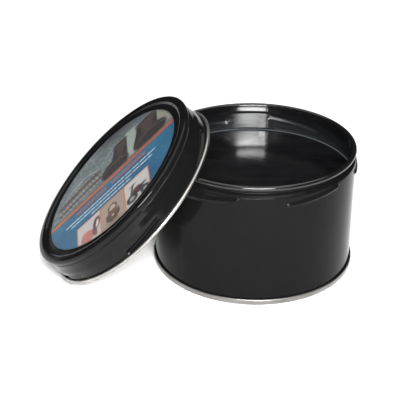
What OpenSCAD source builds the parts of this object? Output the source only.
// Round tinplate tin of paste polish. Its screw lid is off and leans on the rim.
// The tin stands on z = 0 with its axis on Z. Lengths are in millimetres.

/* [Tin] */
// Outside diameter of the rolled wall
tin_d = 108; // [86:1:130]
// Height from the floor to the top of the rolled rim
tin_h = 68; // [56:1:86]
// Thickness of the tinplate sheet
sheet = 0.25; // [0.2:0.01:0.3]
// Diameter of the rolled rim
rim_roll = 2.8; // [2.4:0.1:3.2]
// How far the rolled rim stands out past the wall
rim_proud = 0.15; // [0:0.05:0.3]
// Height over which the shoulder draws the wall in to the neck
shoulder_rise = 1.9; // [1.8:0.1:2.4]
// Gap between the shoulder and the upper end of a lug
shoulder_gap = 0.1; // [0.05:0.05:0.5]
// Direction of the welded side seam, seen from above
side_seam_dir = 80; // [0:1:359]
// Width of the lacquer stripe inside the side seam
stripe_w = 9; // [5:1:14]

/* [Bottom end] */
// Height of the double seam
seam_h = 3; // [2.6:0.1:3.6]
// Gap between the folded layers of the double seam
seam_gap = 0.15; // [0.1:0.01:0.2]
// Height of the bottom panel's underside above the floor
panel_lift = 3.3; // [2.8:0.1:4.2]
// Distance from the wall to the bottom panel's stiffening ring
ring_in = 8.6; // [6:0.1:14]
// Width of the stiffening ring
ring_w = 5.4; // [4.4:0.1:8]
// Depth of the stiffening ring
ring_depth = 0.9; // [0.5:0.1:1.4]

/* [Polish] */
// Height of the polish's surface below the top of the rim
headspace = 17; // [12:1:34]
// Gap between the polish and the sheet around it
polish_gap = 0.15; // [0.12:0.01:0.3]

/* [Thread] */
// Number of thread lugs, which is also the number of dents in the lid
lugs = 6; // [4:1:7]
// Rise of the thread in one full turn
thread_lead = 32; // [24:1:36]
// How far a lug stands out from the wall
lug_out = 1.1; // [0.8:0.1:1.2]
// Half the width of a lug's pressed bead
lug_r = 1.55; // [1.4:0.05:1.7]
// Angle from a lug's middle to where it has faded into the wall
lug_half = 18; // [15:1:20]
// How far the dents' middles lie below the lugs' middles when the lid is tight
tight_drop = 1.3; // [1.1:0.1:1.6]
// Direction of the first lug's middle, seen from above
lug_dir = 2; // [0:1:59]

/* [Lid] */
// Height of the lid, from its open edge to the top of its bead
lid_h = 17.2; // [16.8:0.1:22]
// Depth of the lid's panel below its bead
recess = 1.2; // [0.8:0.1:1.6]
// Width of the lid's rounded bead
bead_w = 5; // [4:0.1:6]
// Depth of the groove under the bead, which holds the liner
groove_in = 0.4; // [0.3:0.05:0.5]
// Gap between the tin's lugs and the inside of the lid's skirt
skirt_gap = 0.5; // [0.4:0.05:0.7]
// How far the skirt widens below its upper part
flare = 0.5; // [0.3:0.05:0.6]
// Diameter of the lid's rolled edge
edge_roll = 2; // [1.8:0.1:2.4]
// Gap between the tin's rolled rim and the dents' tips
dent_gap = 0.35; // [0.3:0.05:0.45]
// Half the width of a dent
dent_w = 1.4; // [1.2:0.05:1.5]
// Angle from a dent's middle to its end
dent_half = 13; // [9:1:16]
// Height of a dent's lower end above the middle of the rolled edge
dent_low = 0.1; // [0:0.05:0.6]
// Turn of the dents about the lid's own axis
dent_turn = 35; // [0:1:59]
// Width of the black margin between the label and the bead
margin_w = 4; // [2:0.1:6]
// Thickness of the printed label
label_t = 0.1; // [0.08:0.01:0.2]
// Thickness of the foam liner
liner_t = 1; // [0.8:0.1:1.2]

/* [Leaning lid] */
// Tilt of the lid's panel from level
lean_tilt = 44; // [40:1:48]
// Direction in which the lid leans out from the tin, seen from above
lean_dir = 188; // [0:1:359]
// Gap between the lid and the rim it leans on
lean_gap = 0.3; // [0.2:0.05:0.5]

/* [Hidden] */
$fn = 96;

// Tin: radii and heights of the sheet's middle
tin_r = tin_d / 2;
wall_r = tin_r - sheet / 2;
rim_mid_r = (rim_roll - sheet) / 2;
rim_out_r = tin_r + rim_proud;
rim_ring_r = rim_out_r - rim_roll / 2;
rim_ring_z = tin_h - rim_roll / 2;
rim_end = -120;
neck_r = rim_ring_r - rim_mid_r;
shoulder_fillet = 0.8;
run_in = 0.3; // straight stretch before a roll begins
polish_z = tin_h - headspace;
stripe_gap = 0.05; // between the stripe and the polish
stripe_inset = 1; // from the bottom panel and from the shoulder

// Double seam: the wall's hook, the end's hook and the end's outer wall, each one layer further out
layer = sheet + seam_gap;
chuck_r = wall_r - layer;
cover_hook_r = wall_r + layer;
body_hook_r = wall_r + 2 * layer;
seam_r = wall_r + 3 * layer;
seam_low_z = sheet / 2;
body_bend_z = sheet / 2 + layer;
seam_top_z = seam_h - sheet / 2;
body_hook_top = seam_h - sheet - layer;
cover_hook_low = body_bend_z + sheet + seam_gap;
seam_fillet = layer - 0.02;
compound_t = 0.3;
panel_z = panel_lift + sheet / 2;
panel_fillet = 0.8;
ring_slope = 1.6;

// Lid: radii and heights of the sheet's middle, in the lid's own frame with its open edge on z = 0
lug_top_r = tin_r + lug_out;
thread_r = lug_top_r + skirt_gap + sheet / 2;
skirt_r = thread_r - flare;
groove_r = skirt_r - groove_in;
bead_over = 0.05;
bead_r = skirt_r + groove_in + bead_over;
bead_in_r = bead_r - bead_w;
bead_slope = 0.8;
bead_fillets = [0.5, 0.6, 1.1]; // at its foot, its inner edge and its outer edge
edge_mid_r = (edge_roll - sheet) / 2;
edge_ring_r = thread_r + edge_mid_r;
edge_ring_z = edge_roll / 2;
edge_end = 120;
lid_top_z = lid_h - sheet / 2;
lid_panel_z = lid_top_z - recess;
liner_play = 0.1;
liner_top_z = lid_panel_z - sheet / 2 - liner_play;
liner_low_z = liner_top_z - liner_t;
liner_hold = 0.75; // share of the groove's depth that the liner reaches into
liner_r = groove_r + liner_hold * groove_in;
groove_drop = 0.75;
groove_z = liner_low_z - groove_drop;
groove_mouth = 0.8;
groove_floor = 0.3;
groove_fillet = 0.25;
label_r = bead_in_r - margin_w;

// Thread: both the lugs and the dents climb to the right
helix_tilt = atan(thread_lead / (2 * PI * tin_r));
dent_tip_r = rim_out_r + dent_gap;
dent_lift = edge_ring_z + dent_low + dent_w + thread_lead * dent_half / 360;
flare_above = 5;
flare_h = 1.2;
flare_fillet = 0.5;
flare_top_z = dent_lift + flare_above;
flare_low_z = flare_top_z - flare_h;

// A lug is one side of a ring that is smaller than the wall, so its ends fade into the wall
lug_z = tin_h - (liner_low_z - dent_lift - tight_drop);
lug_reach = (tin_r ^ 2 - 2 * tin_r * lug_top_r * cos(lug_half) + lug_top_r ^ 2)
  / (2 * (lug_top_r - tin_r * cos(lug_half)));
lug_edge = sqrt(2 * lug_r * lug_out - lug_out ^ 2);
lug_zone = 6; // half the height of the band of wall that holds the lugs
trim = 2; // spare length of a cutting piece
shoulder_z = lug_z + lug_edge + thread_lead * lug_half / 360 + shoulder_gap;

// Leaning: the rolled edge stands on the floor and the lid's open side leans on the rim
lean_z = edge_ring_r * sin(lean_tilt) + edge_ring_z * (1 - cos(lean_tilt));
dent_reach = 1.2;
lean_probes = concat(
  [[edge_ring_r, edge_ring_z, edge_roll / 2]],
  [for (z = [-1 : 1]) [dent_tip_r + dent_w, dent_lift + z * dent_reach, dent_w]],
  [for (z = [flare_top_z : 2 : liner_low_z]) [groove_r, z, sheet / 2]],
  [for (r = [tin_r / 10 : 3 : liner_r]) [r, liner_low_z, 0]]
);
lean_x = lean_offset(tin_r * 0.7, tin_r * 2, 18);

// Room between the tin and a point at radius r and height z, less than zero inside it
function room(r, z) =
  let (to_rim = norm([r - rim_ring_r, z - rim_ring_z]) - rim_roll / 2)
  r < rim_ring_r && z < rim_ring_z ? -1
  : z < shoulder_z ? min(to_rim, r - lug_top_r)
  : to_rim;

// Room between the tin and one point of a ring of the lid, with the lid's centre x out from the axis
function ring_room(x, r, z, turn) =
  room(
    norm([x + z * sin(lean_tilt) - r * cos(turn) * cos(lean_tilt), r * sin(turn)]),
    lean_z + z * cos(lean_tilt) + r * cos(turn) * sin(lean_tilt)
  );

// Least room between the tin and the lid, with the lid's centre x out from the axis
function lid_room(x) =
  min([for (p = lean_probes, turn = [0 : 2 : 110]) ring_room(x, p[0], p[1], turn) - p[2]]);

// Distance from the axis at which the lid just clears the tin, found by halving the range
function lean_offset(low, high, steps) =
  let (mid = (low + high) / 2)
  steps == 0 ? high
  : lid_room(mid) > lean_gap ? lean_offset(low, mid, steps - 1)
  : lean_offset(mid, high, steps - 1);

// Points of an arc about a centre, from one angle to another
function arc(centre, r, from, to, steps) =
  [for (i = [0 : steps], a = [from + (to - from) * i / steps]) centre + r * [cos(a), sin(a)]];

// Unit vector from one point to the next
function toward(a, b) = (b - a) / norm(b - a);

// Points that round the corner b between a and c
function corner(a, b, c, r, steps = 5) =
  let (
    u = toward(b, a),
    v = toward(b, c),
    half = acos(u * v) / 2,
    centre = b + toward([0, 0], u + v) * r / sin(half),
    start = b + u * r / tan(half) - centre,
    side = sign(start[0] * (b - centre)[1] - start[1] * (b - centre)[0]),
    from = atan2(start[1], start[0])
  )
  arc(centre, r, from, from + side * (180 - 2 * half), steps);

// A path through points [r, z, fillet], with each inner point rounded by its fillet
function rounded(points) =
  let (last = len(points) - 1, flat = [for (p = points) [p[0], p[1]]])
  concat(
    [flat[0]],
    [for (i = [1 : last - 1]) each corner(flat[i - 1], flat[i], flat[i + 1], points[i][2])],
    [flat[last]]
  );

// Unit normal of a path at its point i, on the path's left
function left(path, i) =
  let (
    before = path[max(i - 1, 0)],
    after = path[min(i + 1, len(path) - 1)],
    a = i > 0 ? toward(before, path[i]) : toward(path[i], after),
    b = i < len(path) - 1 ? toward(path[i], after) : a,
    middle = toward([0, 0], a + b),
    stretch = middle * a
  )
  [-middle[1], middle[0]] / stretch;

// Outline of a sheet of thickness t whose middle follows the path
function thick(path, t) =
  concat(
    [for (i = [0 : len(path) - 1]) path[i] + left(path, i) * t / 2],
    [for (i = [len(path) - 1 : -1 : 0]) path[i] - left(path, i) * t / 2]
  );

// Round sheet-metal piece whose section is a sheet along the path
module spun_sheet(path) {
  rotate_extrude()
    polygon(thick(path, sheet));
}

// Ring of square section
module tube(inner_r, outer_r, low_z, high_z) {
  translate([0, 0, low_z])
    difference() {
      cylinder(r = outer_r, h = high_z - low_z);
      translate([0, 0, -trim])
        cylinder(r = inner_r, h = high_z - low_z + 2 * trim);
    }
}

// Ring of which one side makes a lug, tilted as the thread is
module lug_ring(r) {
  for (i = [0 : lugs - 1])
    rotate([0, 0, lug_dir + i * 360 / lugs])
      translate([lug_top_r - lug_reach, 0, lug_z])
        rotate([helix_tilt, 0, 0])
          rotate_extrude()
            translate([lug_reach - lug_r, 0])
              circle(r = r);
}

// Short slanted ribs inside the lid's skirt, with a rounded inner edge at tip_r
module dent_ribs(tip_r, w, back_r) {
  nose = 0.8 * w;
  for (i = [0 : lugs - 1])
    rotate([0, 0, dent_turn + i * 360 / lugs])
      translate([0, 0, dent_lift])
        rotate([helix_tilt, 0, 0])
          rotate([0, 0, -dent_half])
            rotate_extrude(angle = 2 * dent_half)
              polygon(concat(
                [[back_r, -w], [back_r, w]],
                arc([tip_r + nose, 0], nose, 90, 270, 8)
              ));
}

// Moves a piece of the lid from the lid's own frame to where the lid leans
module lean() {
  rotate([0, 0, lean_dir])
    translate([lean_x, 0, lean_z])
      rotate([0, lean_tilt, 0])
        children();
}

// Rolled wall with its bottom hook, lugs, drawn-in neck and rolled rim
module body_wall() {
  wall_path = concat(
    [[body_hook_r, body_hook_top]],
    arc([cover_hook_r, body_bend_z + layer], layer, 0, -180, 8),
    rounded([
      [wall_r, body_bend_z + layer + 1],
      [wall_r, shoulder_z, shoulder_fillet],
      [neck_r, shoulder_z + shoulder_rise, shoulder_fillet],
      [neck_r, rim_ring_z - run_in]
    ]),
    arc([rim_ring_r, rim_ring_z], rim_mid_r, 180, rim_end, 20)
  );
  color("#141414")
    difference() {
      union() {
        spun_sheet(wall_path);
        intersection() {
          lug_ring(lug_r);
          tube(wall_r, tin_r + 2 * lug_out, lug_z - lug_zone, lug_z + lug_zone);
        }
      }
      intersection() {
        lug_ring(lug_r - sheet);
        tube(wall_r - trim, tin_r + 2 * lug_out, lug_z - lug_zone, lug_z + lug_zone);
      }
    }
}

// Stripe of cured lacquer over the weld, on the inside of the wall
module seam_stripe() {
  inner_r = tin_r - sheet;
  stripe_t = polish_gap - stripe_gap;
  color("#1d1d1f")
    intersection() {
      tube(inner_r - stripe_t, inner_r, panel_z + stripe_inset, shoulder_z - stripe_inset);
      rotate([0, 0, side_seam_dir])
        translate([tin_r / 2, -stripe_w / 2, 0])
          cube([tin_r, stripe_w, tin_h]);
    }
}

// Bottom end: panel with a stiffening ring, countersink and the folds of the double seam
module bottom_end() {
  ring_out_r = tin_r - ring_in;
  ring_in_r = ring_out_r - ring_w;
  ring_z = panel_z - ring_depth;
  end_path = concat(
    rounded([
      [0, panel_z],
      [ring_in_r, panel_z, panel_fillet],
      [ring_in_r + ring_slope, ring_z, panel_fillet],
      [ring_out_r - ring_slope, ring_z, panel_fillet],
      [ring_out_r, panel_z, panel_fillet],
      [chuck_r, panel_z, panel_fillet],
      [chuck_r, seam_low_z, seam_fillet],
      [seam_r, seam_low_z, seam_fillet],
      [seam_r, seam_top_z - layer - run_in]
    ]),
    arc([body_hook_r, seam_top_z - layer], layer, 0, 180, 8),
    [[cover_hook_r, cover_hook_low]]
  );
  color("#b9bcc0")
    spun_sheet(end_path);
}

// Ring of sealing compound, on the wall's hook inside the fold of the end
module seam_compound() {
  color("#5b5f63")
    tube(body_hook_r - layer / 2, body_hook_r + layer / 2, body_hook_top, body_hook_top + compound_t);
}

// Paste polish, flat on top
module polish() {
  low_z = panel_z + sheet / 2 + polish_gap;
  color("#26262a")
    translate([0, 0, low_z])
      cylinder(r = tin_r - sheet - polish_gap, h = polish_z - low_z);
}

// Screw lid: recessed panel, rounded bead, skirt with dents, and rolled edge
module lid_shell() {
  lid_path = concat(
    rounded([
      [0, lid_panel_z],
      [bead_in_r, lid_panel_z, bead_fillets[0]],
      [bead_in_r + bead_slope, lid_top_z, bead_fillets[1]],
      [bead_r, lid_top_z, bead_fillets[2]],
      [bead_r, groove_z + groove_mouth, groove_fillet],
      [groove_r, groove_z + groove_floor, groove_fillet],
      [groove_r, groove_z - groove_floor, groove_fillet],
      [skirt_r, groove_z - groove_mouth, groove_fillet],
      [skirt_r, flare_top_z, flare_fillet],
      [thread_r, flare_low_z, flare_fillet],
      [thread_r, edge_ring_z + run_in]
    ]),
    arc([edge_ring_r, edge_ring_z], edge_mid_r, 180, 360 + edge_end, 18)
  );
  color("#161616")
    lean()
      difference() {
        union() {
          spun_sheet(lid_path);
          dent_ribs(dent_tip_r, dent_w, thread_r);
        }
        dent_ribs(dent_tip_r + sheet, dent_w - sheet, thread_r + trim / 2);
      }
}

// Round printed label on the lid's recessed panel
module lid_label() {
  color("#4f6a86")
    lean()
      translate([0, 0, lid_panel_z + sheet / 2])
        cylinder(r = label_r, h = label_t);
}

// Loose foam disc that seals the lid on the rim
module lid_liner() {
  color("#e6e4dc")
    lean()
      translate([0, 0, liner_low_z])
        cylinder(r = liner_r, h = liner_t);
}

body_wall();
seam_stripe();
bottom_end();
seam_compound();
polish();
lid_shell();
lid_label();
lid_liner();
